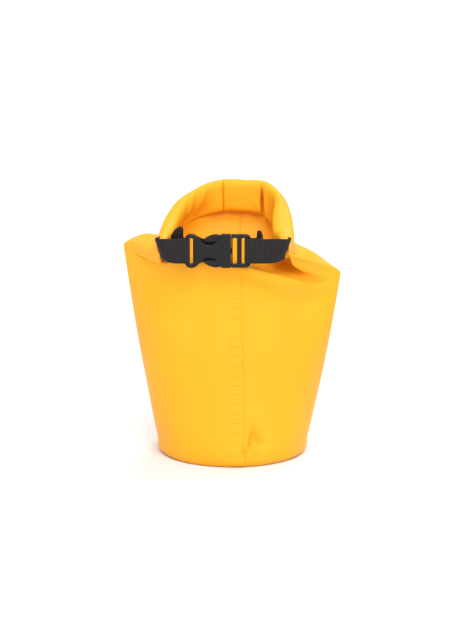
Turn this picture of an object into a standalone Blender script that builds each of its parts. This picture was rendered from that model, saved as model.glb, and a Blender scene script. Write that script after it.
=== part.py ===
"""A small roll-top dry bag, closed: a coated-fabric tube with a round base, its mouth rolled down
and bent into a hoop, and the two ends of the roll joined in front by webbing and a side-release
buckle. Metres, +Z up. The origin is the centre of the base, where the bag stands. The buckle is in
front, towards -Y, and its socket half is on the left, towards -X."""

import math

import bmesh
import bpy
from mathutils import Matrix, Vector

MM = 0.001

# Tube and base
TUBE_RADIUS = 78.5 * MM
FLAT_WIDTH = math.pi * TUBE_RADIUS  # the tube pressed flat
FABRIC = 0.8 * MM
GAP = 0.3 * MM  # between pieces that touch
CORNER_RADIUS = 9.0 * MM  # where the base turns up into its flange
FLANGE_TOP = 15.0 * MM
TUBE_WRAP = math.radians(55)  # how far the tube's edge follows the base's corner
TUBE_START = FLANGE_TOP + 1.0 * MM  # the tube is round up to here
SHOULDER_HALF_WIDTH = 112.5 * MM
SHOULDER_HEIGHT = 202.0 * MM
SHOULDER_LEAN = 15.0 * MM  # the left shoulder stands this much higher, and the right one lower
SHOULDER_RISE = 12.0 * MM  # the back of the shoulder line this much higher, the front lower
LENS_ANGLE = math.radians(50)  # half angle of each panel's arc at the shoulders; 90 is an ellipse
RING_STEPS = 64
BODY_RINGS = 10
NECK_RINGS = 6

# Roll, which runs round a hoop that rises to the back
ROLL_HEIGHT = 34.6 * MM
ROLL_THICKNESS = 13.0 * MM
ROLL_FRONT_Y = -32.5 * MM
ROLL_FRONT_HEIGHT = 224.9 * MM  # of the roll's centre line at its two ends
ROLL_SLOPE = 0.53
HOOP_PLAN = [  # the roll's centre line seen from above, left end to right end, in mm
    (-64.8, -32.5),
    (-60.0, -14.0),
    (-47.0, 10.0),
    (-27.0, 29.5),
    (-8.0, 36.5),
    (14.0, 35.5),
    (34.0, 33.0),
    (46.0, 14.0),
    (52.0, -12.0),
    (54.9, -32.5),
]
ROLL_STEPS = 28  # along the hoop
ROLL_TURNS = 2.0
ROLL_PLY = 1.0 * MM  # the tube's two panels, rolled as one
ROLL_PITCH = 1.3 * MM  # each turn this far inside the one before
ROLL_STEPS_PER_TURN = 14
NECK_CLEARANCE = 6.5 * MM  # from the neck's top edge up to the roll, room for the hoop to tilt
NECK_OFFSET = 3.6 * MM  # the neck meets the roll on its outer side
NECK_GAPE = 3.2 * MM  # between the neck's two panels
TILT_AXIS = (0.0, 41.0 * MM, 243.0 * MM)  # the hoop tilts about a line across the neck's back here

# Seam down the front, where the fabric's edges lap and are welded
SEAM_FROM = -4.5 * MM
SEAM_TO = 10.5 * MM
SEAM_FABRIC = 0.6 * MM
SEAM_ROWS = 12
SEAM_COLUMNS = 5

# Webbing
WEBBING_WIDTH = 25.0 * MM
WEBBING = 1.5 * MM
MOUTH_WEBBING_OFFSET = -0.3 * MM  # from the roll's centre line, outwards
STIFFENER_OFFSET = 1.3 * MM
STIFFENER_WIDTH = 20.0 * MM
STIFFENER = 0.8 * MM
ROLL_END_MARGIN = 9.0 * MM  # the strips in the roll stop this far behind its two ends
STRIP_STEPS = 26

# Buckle for 25 mm webbing. Outlines are in mm: x from the parting line, z from the centre line.
STRAP_Y = -55.0 * MM
STRAP_HEIGHT = 219.5 * MM
PARTING_X = -1.4 * MM
SOCKET_THICKNESS = 9.0 * MM
SOCKET_OUTLINE = [  # upper half, from the parting line to the webbing end
    (-0.15, 17.0),
    (-8.0, 17.2),
    (-10.5, 16.6),
    (-12.6, 14.4),
    (-15.0, 11.0),
    (-18.0, 8.0),
    (-21.5, 6.7),
    (-25.0, 7.0),
    (-28.5, 8.8),
    (-31.5, 11.2),
    (-34.0, 14.6),
    (-36.5, 16.5),
    (-40.0, 17.1),
    (-43.0, 16.5),
    (-45.4, 14.6),
    (-46.5, 11.8),
]
SOCKET_SLOT = (-43.0, -38.2)
CAVITY_THICKNESS = 5.4 * MM
CAVITY_HALF_WIDTH = 15.6 * MM
CAVITY_DEPTH = 29.5 * MM
FRAME_OUTLINE = [
    (19.6, 12.4),
    (19.2, 14.6),
    (17.6, 16.2),
    (15.0, 16.8),
    (1.2, 16.8),
    (0.15, 15.8),
]
FRAME_THICKNESS = 6.4 * MM
FRAME_SLOTS = ((1.6, 5.9), (10.6, 15.1))
SLOT_HEIGHT = 26.2 * MM
END_BAR_THICKNESS = 4.6 * MM
TONGUE_LENGTH = 23.0 * MM
TONGUE_WIDTH = 6.0 * MM
TONGUE_THICKNESS = 3.6 * MM
PRONG_OUTLINE = [
    (-1.2, 13.3),
    (-2.6, 13.8),
    (-9.0, 13.8),
    (-11.3, 15.3),
    (-17.5, 15.3),
    (-22.5, 13.9),
    (-25.9, 11.6),
    (-27.1, 9.8),
    (-26.4, 8.5),
    (-22.0, 8.8),
    (-12.0, 10.1),
    (-2.6, 10.3),
    (-1.2, 10.8),
]
PRONG_THICKNESS = 4.4 * MM
PRONG_HINGE = (-2.6, 12.0)  # where each prong bends when its button is squeezed
PAST_SOCKET_END = -50.0
PAST_FRAME_END = 25.0
CUTTER_DEPTH = 20.0 * MM
OVERLAP = 1.5 * MM  # of pieces that are joined, and of cutters past an open end

# Webbing tabs seen from above, in mm, from inside the roll's end round to the buckle: x, y, z
LEFT_TAB = [
    (-63.8, -28.5, 227.0),
    (-64.9, -33.0, 224.6),
    (-69.8, -39.0, 222.2),
    (-73.7, -46.0, 220.6),
    (-74.4, -52.5, 219.8),
    (-71.0, -57.6, 219.5),
    (-64.0, -58.6, 219.5),
]
RIGHT_TAB = [
    (54.4, -28.5, 227.0),
    (54.9, -33.0, 224.6),
    (56.0, -40.0, 222.0),
    (56.4, -47.5, 220.3),
    (55.0, -54.0, 219.6),
    (50.5, -58.0, 219.5),
    (43.0, -58.6, 219.5),
]
LEG_OFFSET = 3.6 * MM  # from the buckle's middle plane to each leg of a tab
HAIRPIN_RADIUS = 1.6 * MM
LEAD_STEPS = 15
RING_WRAP = 240.0  # degrees that the webbing goes round a D-ring's bar
RING_WRAP_STEPS = 8

# D-rings, which hang in the back legs of the tabs
RING_WIRE = 2.1 * MM  # radius
RING_HALF_BAR = 16.6 * MM
RING_CORNER = 3.0 * MM
RING_DEPTH = 13.0 * MM
RING_RAISE = 1.5 * MM
RING_Y = -48.25 * MM
LEFT_RING_X = -51.5 * MM
RIGHT_RING_X = 26.5 * MM
LEFT_RING_SWING = math.radians(135)  # the way each ring points, from +X towards the back
RIGHT_RING_SWING = math.radians(72)

YELLOW = (0.95, 0.50, 0.03, 1.0)
BLACK = (0.025, 0.023, 0.026, 1.0)


# ---------------------------------------------------------------- scene and helpers


def clear_scene():
    for obj in list(bpy.data.objects):
        bpy.data.objects.remove(obj, do_unlink=True)


def new_collection(name):
    collection = bpy.data.collections.new(name)
    bpy.context.scene.collection.children.link(collection)
    return collection


def material(name, colour, roughness):
    made = bpy.data.materials.new(name)
    made.use_nodes = True
    shader = made.node_tree.nodes["Principled BSDF"]
    shader.inputs["Base Color"].default_value = colour
    shader.inputs["Roughness"].default_value = roughness
    shader.inputs["Metallic"].default_value = 0.0
    return made


def add_mesh(name, mesh, finish, collection):
    obj = bpy.data.objects.new(name, mesh)
    obj.data.materials.append(finish)
    collection.objects.link(obj)
    return obj


def sheet(name, rows, finish, collection, thickness, offset=0.0, closed=False):
    """A shell: the open surface through rows of points, with Solidify. Closed rows join up."""
    mesh = bpy.data.meshes.new(name)
    columns = len(rows[0])
    points = [tuple(p) for row in rows for p in row]
    faces = []
    for r in range(len(rows) - 1):
        for c in range(columns if closed else columns - 1):
            right = (c + 1) % columns
            faces.append(
                (
                    r * columns + c,
                    r * columns + right,
                    (r + 1) * columns + right,
                    (r + 1) * columns + c,
                )
            )
    mesh.from_pydata(points, [], faces)
    obj = add_mesh(name, mesh, finish, collection)
    mesh.shade_smooth()
    shell = obj.modifiers.new("Thickness", "SOLIDIFY")
    shell.thickness = thickness
    shell.offset = offset
    shell.use_even_offset = False
    return obj


def put_origin(obj, place):
    """Moves the object's origin, and leaves its shape where it is."""
    obj.data.transform(Matrix.Translation(-Vector(place)))
    obj.location = place


def box(name, centre, size, collection):
    bpy.ops.mesh.primitive_cube_add(size=1.0, location=centre)
    obj = bpy.context.object
    obj.name = name
    obj.scale = size
    bpy.ops.object.transform_apply(location=False, rotation=False, scale=True)
    for other in list(obj.users_collection):
        other.objects.unlink(obj)
    collection.objects.link(obj)
    return obj


def plate(name, outline, thickness, centre, finish, collection):
    """A flat outline in the strap's x and z, filled and thickened through y."""
    curve = bpy.data.curves.new(name, "CURVE")
    curve.dimensions = "2D"
    curve.fill_mode = "BOTH"
    curve.extrude = thickness / 2
    spline = curve.splines.new("POLY")
    spline.points.add(len(outline) - 1)
    for point, (x, z) in zip(spline.points, outline):
        point.co = (x, z, 0.0, 1.0)
    spline.use_cyclic_u = True
    flat = bpy.data.objects.new(name + "_outline", curve)
    collection.objects.link(flat)
    flat.matrix_world = Matrix.Translation(centre) @ Matrix.Rotation(math.pi / 2, 4, "X")
    bpy.context.view_layer.update()
    solid = flat.evaluated_get(bpy.context.evaluated_depsgraph_get())
    mesh = bpy.data.meshes.new_from_object(solid)
    made = bmesh.new()
    made.from_mesh(mesh)
    bmesh.ops.remove_doubles(made, verts=made.verts, dist=0.01 * MM)
    bmesh.ops.recalc_face_normals(made, faces=made.faces)
    made.to_mesh(mesh)
    made.free()
    mesh.materials.clear()
    obj = add_mesh(name, mesh, finish, collection)
    obj.matrix_world = flat.matrix_world.copy()
    bpy.data.objects.remove(flat)
    return obj


def cut(obj, cutter, operation="DIFFERENCE"):
    cutter.hide_render = True
    cutter.display_type = "WIRE"
    boolean = obj.modifiers.new(operation.title(), "BOOLEAN")
    boolean.operation = operation
    boolean.object = cutter
    boolean.solver = "EXACT"


def soften(obj, width, segments=2):
    bevel = obj.modifiers.new("Rounded edges", "BEVEL")
    bevel.width = width
    bevel.segments = segments
    bevel.limit_method = "ANGLE"
    bevel.angle_limit = math.radians(35)


def catmull_rom(points, t):
    """A point of the smooth curve through the points, t from 0 to 1."""
    spans = len(points) - 1
    place = min(max(t, 0.0), 1.0) * spans
    i = min(int(place), spans - 1)
    f = place - i
    p1, p2 = Vector(points[i]), Vector(points[i + 1])
    p0 = Vector(points[i - 1]) if i else p1 * 2 - p2
    p3 = Vector(points[i + 2]) if i + 2 < len(points) else p2 * 2 - p1
    return (
        p1 * 2
        + (p2 - p0) * f
        + (p0 * 2 - p1 * 5 + p2 * 4 - p3) * f**2
        + (p1 * 3 - p0 - p2 * 3 + p3) * f**3
    ) / 2


def even_points(points, count):
    """count points at even spacing along the smooth curve through the points."""
    fine = [catmull_rom(points, i / 400) for i in range(401)]
    along = [0.0]
    for a, b in zip(fine, fine[1:]):
        along.append(along[-1] + (b - a).length)
    made, j = [], 0
    for i in range(count):
        want = along[-1] * i / (count - 1)
        while j < len(fine) - 2 and along[j + 1] < want:
            j += 1
        share = (want - along[j]) / (along[j + 1] - along[j])
        made.append(fine[j].lerp(fine[j + 1], share))
    return made


# ---------------------------------------------------------------- the hoop that the roll follows


def roll_centre_height(y):
    return ROLL_FRONT_HEIGHT + ROLL_SLOPE * (y - ROLL_FRONT_Y)


def hoop_path(count):
    """Points along the roll's centre line, left end to right end, each with its outward direction."""
    plan = [Vector((x * MM, y * MM, 0.0)) for x, y in HOOP_PLAN]
    points = even_points(plan, count)
    path = []
    for i, p in enumerate(points):
        along = points[min(i + 1, count - 1)] - points[max(i - 1, 0)]
        outward = Vector((-along.y, along.x, 0.0)).normalized()
        path.append((Vector((p.x, p.y, roll_centre_height(p.y))), outward))
    return path


# ---------------------------------------------------------------- the tube


def panel_arc(half_width, depth, half_angle, t):
    """A panel's section: an arc from crease to crease, t from -1 to 1, as (across, outward)."""
    across = half_width * math.sin(half_angle * t) / math.sin(half_angle)
    outward = depth * (math.cos(half_angle * t) - math.cos(half_angle)) / (1 - math.cos(half_angle))
    return across, outward


def panel_depth(half_width, half_angle):
    """How far a panel bulges so that its section is as long as the fabric is wide."""
    low, high = 0.0, half_width * 1.6
    for _ in range(40):
        depth = (low + high) / 2
        points = [panel_arc(half_width, depth, half_angle, i / 40 - 1) for i in range(81)]
        length = sum(math.dist(a, b) for a, b in zip(points, points[1:]))
        low, high = (depth, high) if length < FLAT_WIDTH else (low, depth)
    return (low + high) / 2


def around(step):
    """(which panel, t across it) for a step round the tube: front left to right, then back."""
    share = step / RING_STEPS * 4
    return ("front", share - 1) if share <= 2 else ("back", 3 - share)


def body_ring(s):
    """The tube's outer section at s, from 0 at the base's corner to 1 at the shoulders."""
    half_width = TUBE_RADIUS + (SHOULDER_HALF_WIDTH - TUBE_RADIUS) * s
    half_angle = math.pi / 2 + (LENS_ANGLE - math.pi / 2) * s**1.3
    depth = panel_depth(half_width, half_angle)
    ring = []
    for step in range(RING_STEPS):
        panel, t = around(step)
        x, out = panel_arc(half_width, depth, half_angle, t)
        side = -1 if panel == "front" else 1
        turn = x / half_width
        front_to_back = side * math.sqrt(max(0.0, 1 - turn * turn))
        shoulder = SHOULDER_HEIGHT - SHOULDER_LEAN * turn + SHOULDER_RISE * front_to_back
        height = TUBE_START + (shoulder - TUBE_START) * s
        ring.append(Vector((x, side * out, height)))
    return ring


def neck_top_ring():
    """The neck's top edge: both panels side by side round the hoop, just under the roll."""
    count = RING_STEPS // 2 + 1
    path = hoop_path(count)
    ring = []
    for step in range(RING_STEPS):
        panel, t = around(step)
        centre, outward = path[round((t + 1) / 2 * (count - 1))]
        gape = NECK_GAPE / 2 * (1 if panel == "back" else -1) * (0.0 if abs(t) == 1 else 1.0)
        drop = Vector((0, 0, -ROLL_HEIGHT / 2 - NECK_CLEARANCE))
        ring.append(centre + outward * (NECK_OFFSET + gape) + drop)
    return ring


def tube_rings():
    """Every ring of the tube, from the edge under the base's corner up to the neck's top."""
    rings = []
    outer = CORNER_RADIUS + GAP + FABRIC
    for i in range(4):
        angle = TUBE_WRAP * (1 - i / 4)
        radius = TUBE_RADIUS - outer + outer * math.cos(angle)
        height = CORNER_RADIUS - outer * math.sin(angle)
        rings.append([Vector((p.x, p.y, 0)).normalized() * radius + Vector((0, 0, height))
                      for p in body_ring(0.0)])
    rings += [body_ring(i / (BODY_RINGS - 1)) for i in range(BODY_RINGS)]
    low, high = rings[-1], neck_top_ring()
    for i in range(1, NECK_RINGS + 1):
        share = i / NECK_RINGS
        rings.append([a.lerp(b, share) for a, b in zip(low, high)])
    return rings


def build_tube(finish, collection):
    return sheet("bag_tube", tube_rings(), finish, collection, FABRIC, offset=-1.0, closed=True)


def build_base(finish, collection):
    """The round base: a floor with a rounded corner and a flange that stands inside the tube."""
    outer = TUBE_RADIUS - FABRIC - GAP
    inner = outer - FABRIC
    centre = outer - CORNER_RADIUS
    turns = [math.radians(90 * i / 5) for i in range(6)]
    profile = [(0.0, FABRIC)]
    small = CORNER_RADIUS - FABRIC
    profile += [(centre + small * math.sin(t), CORNER_RADIUS - small * math.cos(t)) for t in turns]
    profile += [(inner, FLANGE_TOP), (outer, FLANGE_TOP)]
    profile += [
        (centre + CORNER_RADIUS * math.sin(t), CORNER_RADIUS - CORNER_RADIUS * math.cos(t))
        for t in reversed(turns)
    ]
    profile.append((0.0, 0.0))
    mesh = bpy.data.meshes.new("base_disc")
    edges = [(i, i + 1) for i in range(len(profile) - 1)]
    mesh.from_pydata([(x, 0.0, z) for x, z in profile], edges, [])
    obj = add_mesh("base_disc", mesh, finish, collection)
    screw = obj.modifiers.new("Turned", "SCREW")
    screw.axis = "Z"
    screw.steps = 56
    screw.render_steps = 56
    screw.use_merge_vertices = True
    screw.merge_threshold = 0.0001
    screw.use_smooth_shade = True
    return obj


def build_seam(finish, collection):
    """The lapped and welded edge that runs up the middle of the front."""
    last = SEAM_ROWS - 1
    rings = [body_ring(i / last) for i in range(SEAM_ROWS)]
    middle = RING_STEPS // 4
    rows = []
    for r, ring in enumerate(rings):
        below, above = rings[max(r - 1, 0)], rings[min(r + 1, last)]
        lean = (above[middle] - below[middle]).normalized()
        normal = Vector((0.0, -lean.z, lean.y))
        row = []
        for c in range(SEAM_COLUMNS):
            x = SEAM_FROM + (SEAM_TO - SEAM_FROM) * c / (SEAM_COLUMNS - 1)
            k = next(i for i in range(RING_STEPS // 2) if ring[i + 1].x > x)
            share = (x - ring[k].x) / (ring[k + 1].x - ring[k].x)
            row.append(ring[k].lerp(ring[k + 1], share) + normal * (GAP + SEAM_FABRIC))
        rows.append(row)
    return sheet("seam_lap", rows, finish, collection, SEAM_FABRIC, offset=-1.0)


# ---------------------------------------------------------------- the roll and the strips in it


def racetrack(turn, inset):
    """A point of the roll's section: up its outer side, over, down and under. (outward, up)"""
    half = ROLL_THICKNESS / 2 - inset
    straight = ROLL_HEIGHT / 2 - ROLL_THICKNESS / 2
    lengths = [2 * straight, math.pi * half, 2 * straight, math.pi * half]
    along = turn % 1.0 * sum(lengths)
    if along < lengths[0]:
        return half, -straight + along
    along -= lengths[0]
    if along < lengths[1]:
        angle = along / half
        return half * math.cos(angle), straight + half * math.sin(angle)
    along -= lengths[1]
    if along < lengths[2]:
        return -half, straight - along
    angle = (along - lengths[2]) / half
    return -half * math.cos(angle), -straight - half * math.sin(angle)


def build_roll(finish, collection):
    """The mouth, rolled down towards the inside of the hoop as one spiral sheet."""
    steps = round(ROLL_TURNS * ROLL_STEPS_PER_TURN)
    rows = []
    for centre, outward in hoop_path(ROLL_STEPS):
        row = []
        for i in range(steps + 1):
            turn = i / ROLL_STEPS_PER_TURN
            n, up = racetrack(turn, ROLL_PLY / 2 + ROLL_PITCH * turn)
            row.append(centre + outward * n + Vector((0, 0, up)))
        rows.append(row)
    obj = sheet("mouth_roll", rows, finish, collection, ROLL_PLY)
    put_origin(obj, TILT_AXIS)
    return obj


def strip_in_roll(name, offset, width, thickness, finish, collection):
    """A flat strip along the roll's core."""
    fine = [centre + outward * offset for centre, outward in hoop_path(120)]
    inside = [p for p in fine if p.y > ROLL_FRONT_Y + ROLL_END_MARGIN]
    rows = []
    for p in even_points(inside, STRIP_STEPS):
        rows.append([p + Vector((0, 0, width * (c / 2 - 0.5))) for c in range(3)])
    obj = sheet(name, rows, finish, collection, thickness)
    put_origin(obj, TILT_AXIS)
    return obj


# ---------------------------------------------------------------- webbing tabs


def tab_path(lead, side, slot_x, ring_x):
    """A tab's course seen from above: out of the roll, round the buckle's bar and the ring's."""
    points = even_points([Vector(p) * MM for p in lead], LEAD_STEPS)
    z = STRAP_HEIGHT
    turn_x = slot_x + side * HAIRPIN_RADIUS
    straight = LEG_OFFSET - HAIRPIN_RADIUS
    points.append(Vector((turn_x, STRAP_Y - LEG_OFFSET, z)))
    front_corner = [(-straight, degrees) for degrees in (-67.5, -45.0, -22.5)]
    back_corner = [(straight, degrees) for degrees in (0.0, 22.5, 45.0, 67.5, 90.0)]
    for centre_y, degrees in front_corner + back_corner:
        angle = math.radians(degrees)
        x = turn_x - side * HAIRPIN_RADIUS * math.cos(angle)
        y = STRAP_Y + centre_y + HAIRPIN_RADIUS * math.sin(angle)
        points.append(Vector((x, y, z)))
    hold = RING_WIRE + GAP + WEBBING / 2
    for i in range(RING_WRAP_STEPS + 1):
        angle = math.radians(-90 + RING_WRAP * i / RING_WRAP_STEPS)
        x = ring_x + side * hold * math.cos(angle)
        y = RING_Y + hold * math.sin(angle)
        points.append(Vector((x, y, z)))
    return points


def build_tab(name, lead, side, slot_x, ring_x, finish, collection):
    half = Vector((0, 0, WEBBING_WIDTH / 2))
    rows = []
    for p in tab_path(lead, side, slot_x, ring_x):
        rows.append([p - half, p, p + half])
    obj = sheet(name, rows, finish, collection, WEBBING)
    obj.modifiers["Thickness"].use_even_offset = True
    put_origin(obj, TILT_AXIS)
    return obj


# ---------------------------------------------------------------- buckle


def mirrored(upper):
    """A whole outline from its upper half."""
    return list(upper) + [(x, -z) for x, z in reversed(upper)]


def in_metres(outline):
    return [(x * MM, z * MM) for x, z in outline]


def slot_cutter(name, slot, cutters):
    x = PARTING_X + (slot[0] + slot[1]) / 2 * MM
    size = ((slot[1] - slot[0]) * MM, CUTTER_DEPTH, SLOT_HEIGHT)
    return box(name, (x, STRAP_Y, STRAP_HEIGHT), size, cutters)


def thin_end(obj, name, from_x, to_x, cutters):
    """Leaves the end bar thinner than the rest, front and back."""
    for side in (-1, 1):
        x = PARTING_X + (from_x + to_x) / 2 * MM
        y = STRAP_Y + side * (END_BAR_THICKNESS + CUTTER_DEPTH) / 2
        size = (abs(to_x - from_x) * MM, CUTTER_DEPTH, SLOT_HEIGHT)
        face = "front" if side < 0 else "back"
        cut(obj, box(f"{name}_{face}", (x, y, STRAP_HEIGHT), size, cutters))


def build_socket(finish, collection, cutters):
    """The buckle's socket half, hollow, with its two sides cut away round the prongs' buttons."""
    origin = Vector((PARTING_X, STRAP_Y, STRAP_HEIGHT))
    outline = in_metres(mirrored(SOCKET_OUTLINE))
    obj = plate("buckle_socket", outline, SOCKET_THICKNESS, origin, finish, collection)
    soften(obj, 0.9 * MM)
    hollow_x = PARTING_X - (CAVITY_DEPTH - OVERLAP) / 2
    size = (CAVITY_DEPTH + OVERLAP, CAVITY_THICKNESS, 2 * CAVITY_HALF_WIDTH)
    cut(obj, box("socket_hollow", (hollow_x, STRAP_Y, STRAP_HEIGHT), size, cutters))
    cut(obj, slot_cutter("socket_slot", SOCKET_SLOT, cutters))
    thin_end(obj, "socket_bar", PAST_SOCKET_END, SOCKET_SLOT[1], cutters)
    return obj


def build_frame(finish, collection, cutters):
    """The buckle's plug half: a frame with two slots, and the tongue between the prongs."""
    origin = Vector((PARTING_X, STRAP_Y, STRAP_HEIGHT))
    outline = in_metres(mirrored(FRAME_OUTLINE))
    obj = plate("buckle_frame", outline, FRAME_THICKNESS, origin, finish, collection)
    soften(obj, 0.9 * MM)
    length = TONGUE_LENGTH + OVERLAP
    centre = (PARTING_X + OVERLAP - length / 2, STRAP_Y, STRAP_HEIGHT)
    tongue = box("frame_tongue", centre, (length, TONGUE_THICKNESS, TONGUE_WIDTH), cutters)
    cut(obj, tongue, "UNION")
    for i, slot in enumerate(FRAME_SLOTS):
        cut(obj, slot_cutter(f"frame_slot_{i}", slot, cutters))
    thin_end(obj, "frame_bar", FRAME_SLOTS[1][0], PAST_FRAME_END, cutters)
    return obj


def build_prong(name, side, finish, collection):
    """A springy prong whose outer bulge is the button seen in the socket's side."""
    hinge_x, hinge_z = PRONG_HINGE
    outline = [((x - hinge_x) * MM, side * (z - hinge_z) * MM) for x, z in PRONG_OUTLINE]
    x = PARTING_X + hinge_x * MM
    origin = Vector((x, STRAP_Y, STRAP_HEIGHT + side * hinge_z * MM))
    obj = plate(name, outline, PRONG_THICKNESS, origin, finish, collection)
    soften(obj, 0.6 * MM, 1)
    return obj


# ---------------------------------------------------------------- D-rings


def build_ring(name, x, swing, finish, collection):
    """A D-ring: a straight bar, which is its hinge line, and a bow."""
    curve = bpy.data.curves.new(name, "CURVE")
    curve.dimensions = "3D"
    curve.bevel_depth = RING_WIRE
    curve.bevel_resolution = 2
    half = RING_HALF_BAR
    corner = RING_CORNER
    points = [(0.0, -half + corner), (0.0, 0.0), (0.0, half - corner)]
    points += [(corner * 0.3, half - corner * 0.3), (corner, half)]
    reach = RING_DEPTH - corner
    for i in range(1, 12):
        angle = math.radians(90 - 15 * i)
        points.append((corner + reach * math.cos(angle), half * math.sin(angle)))
    points += [(corner, -half), (corner * 0.3, -half + corner * 0.3)]
    spline = curve.splines.new("POLY")
    spline.points.add(len(points) - 1)
    for point, (out, up) in zip(spline.points, points):
        point.co = (out * math.cos(swing), out * math.sin(swing), up, 1.0)
    spline.use_cyclic_u = True
    wire = bpy.data.objects.new(name + "_wire", curve)
    collection.objects.link(wire)
    bpy.context.view_layer.update()
    solid = wire.evaluated_get(bpy.context.evaluated_depsgraph_get())
    mesh = bpy.data.meshes.new_from_object(solid)
    mesh.materials.clear()
    mesh.shade_smooth()
    bpy.data.objects.remove(wire)
    obj = add_mesh(name, mesh, finish, collection)
    obj.location = (x, RING_Y, STRAP_HEIGHT + RING_RAISE)
    return obj


# ---------------------------------------------------------------- assembly


def main():
    clear_scene()
    bag = new_collection("dry_bag")
    cutters = new_collection("cutters")
    cutters.hide_render = True
    fabric = material("coated_fabric", YELLOW, 0.45)
    base_fabric = material("coated_base_fabric", YELLOW, 0.5)
    seam_fabric = material("welded_fabric", YELLOW, 0.4)
    rolled_fabric = material("rolled_fabric", YELLOW, 0.45)
    webbing = material("black_webbing", BLACK, 0.85)
    plastic = material("black_plastic", BLACK, 0.45)
    ring_plastic = material("ring_plastic", BLACK, 0.5)
    strip = material("stiffener_plastic", (0.75, 0.75, 0.72, 1.0), 0.5)
    build_tube(fabric, bag)
    build_base(base_fabric, bag)
    build_seam(seam_fabric, bag)
    build_roll(rolled_fabric, bag)
    strip_in_roll("mouth_webbing", MOUTH_WEBBING_OFFSET, WEBBING_WIDTH, WEBBING, webbing, bag)
    strip_in_roll("mouth_stiffener", STIFFENER_OFFSET, STIFFENER_WIDTH, STIFFENER, strip, bag)
    socket_x = PARTING_X + (SOCKET_SLOT[0] + 0.3) * MM + WEBBING / 2
    frame_x = PARTING_X + (FRAME_SLOTS[1][1] - 0.3) * MM - WEBBING / 2
    build_tab("left_tab", LEFT_TAB, -1, socket_x, LEFT_RING_X, webbing, bag)
    build_tab("right_tab", RIGHT_TAB, 1, frame_x, RIGHT_RING_X, webbing, bag)
    build_socket(plastic, bag, cutters)
    build_frame(plastic, bag, cutters)
    build_prong("upper_prong", 1, plastic, bag)
    build_prong("lower_prong", -1, plastic, bag)
    build_ring("left_ring", LEFT_RING_X, LEFT_RING_SWING, ring_plastic, bag)
    build_ring("right_ring", RIGHT_RING_X, RIGHT_RING_SWING, ring_plastic, bag)


main()
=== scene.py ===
"""The dry bag's looks: the coated fabric, webbing, buckle and D-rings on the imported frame.
Lengths are in metres. +Z is up, the buckle is in front, towards -Y."""

import math

import bmesh
import bpy
import numpy as np
from mathutils import Matrix, Vector


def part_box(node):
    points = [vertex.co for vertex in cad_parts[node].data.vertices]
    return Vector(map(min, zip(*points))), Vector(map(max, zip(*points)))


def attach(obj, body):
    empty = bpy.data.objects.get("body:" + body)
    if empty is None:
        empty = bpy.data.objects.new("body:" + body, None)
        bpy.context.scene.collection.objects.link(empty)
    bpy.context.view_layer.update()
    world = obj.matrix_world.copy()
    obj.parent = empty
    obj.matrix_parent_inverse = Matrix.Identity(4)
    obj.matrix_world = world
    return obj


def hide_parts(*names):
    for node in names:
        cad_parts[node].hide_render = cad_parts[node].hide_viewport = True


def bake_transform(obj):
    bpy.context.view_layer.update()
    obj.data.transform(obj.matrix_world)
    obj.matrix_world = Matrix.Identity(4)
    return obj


MM = 0.001
SHARP = math.radians(50)  # edges that turn more than this aren't shaded smooth

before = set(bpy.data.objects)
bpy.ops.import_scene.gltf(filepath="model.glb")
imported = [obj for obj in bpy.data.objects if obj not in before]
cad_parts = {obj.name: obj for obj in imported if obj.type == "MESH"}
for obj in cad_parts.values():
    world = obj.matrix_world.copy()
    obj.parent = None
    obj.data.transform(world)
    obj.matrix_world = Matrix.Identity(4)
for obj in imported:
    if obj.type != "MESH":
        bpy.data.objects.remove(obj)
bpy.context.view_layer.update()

# The bag: sizes taken from the frame, and the shape between them
TUBE_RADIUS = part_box("bag_tube")[1].y
FLAT_WIDTH = math.pi * TUBE_RADIUS
CORNER_RADIUS = 9.0 * MM
TUBE_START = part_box("base_disc")[1].z + 1.0 * MM
SHOULDER_HALF_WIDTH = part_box("bag_tube")[1].x
SHOULDER_HEIGHT = 202.0 * MM
SHOULDER_LEAN = 15.0 * MM  # the left corner is this much higher, and the right one lower
SHOULDER_RISE = 12.0 * MM  # the back's middle is this much higher, and the front's lower
LENS_ANGLE = math.radians(50)  # half the arc that each panel makes at the shoulders
BELLY = 2.6 * MM  # the sides stand out this much from straight
LIP_RISE = 16.0 * MM  # the front panel's top, under the strap, above the shoulder line
LIP_FORWARD = 9.0 * MM
LEFT_CREST = 9.0 * MM  # the shoulders' tops, behind, stand this much above the straight course
RIGHT_CREST = 5.0 * MM
CREST_SHIFT = 4.0 * MM  # the right one also leans out
RIGHT_VALLEY = 8.0 * MM  # the hollows beside the strap's two ends
LEFT_VALLEY = 4.0 * MM
VALLEY_SINK = 0.6  # they also go down, by this share of their depth
STRAP_HOLLOW = 10.0 * MM  # the hollow right across the front, under the strap
DENT = 8.5 * MM  # the dent at the base, right of the seam
DENT_SLANT = 30.0 * MM  # its left edge is this much further right at the shoulder line
PINCH = 3.0 * MM  # the fold beside it, which stands out
CORNER_ROWS = 6  # of fabric round the base's corner
CORNER_TURN = math.radians(55)
# How strongly the neck's curve leaves the shoulders and reaches the roll, as shares of its span: at the
# bag's sides, and how much more than that at both ends in the middle of the front and of the back
NECK_PULL = 0.12
FRONT_PULL = (0.03, 1.4)
BACK_PULL = (0.38, 0.33)
NECK_DROP = 3.0 * MM  # the neck ends this far under the roll
NECK_BACK = 5.4 * MM  # and its panels are there this far out from the roll's centre line
NECK_FRONT = 3.6 * MM
BASE_THICKNESS = 0.8 * MM
BASE_INSET = 1.1 * MM  # from the fabric's outer face to the base's
BASE_FLANGE = (10.5, 12.0, 13.5, 15.0)  # heights in mm
BASE_SLACK = 0.35 * MM
BASE_RINGS = 14
BASE_COLUMNS = 120

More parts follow.
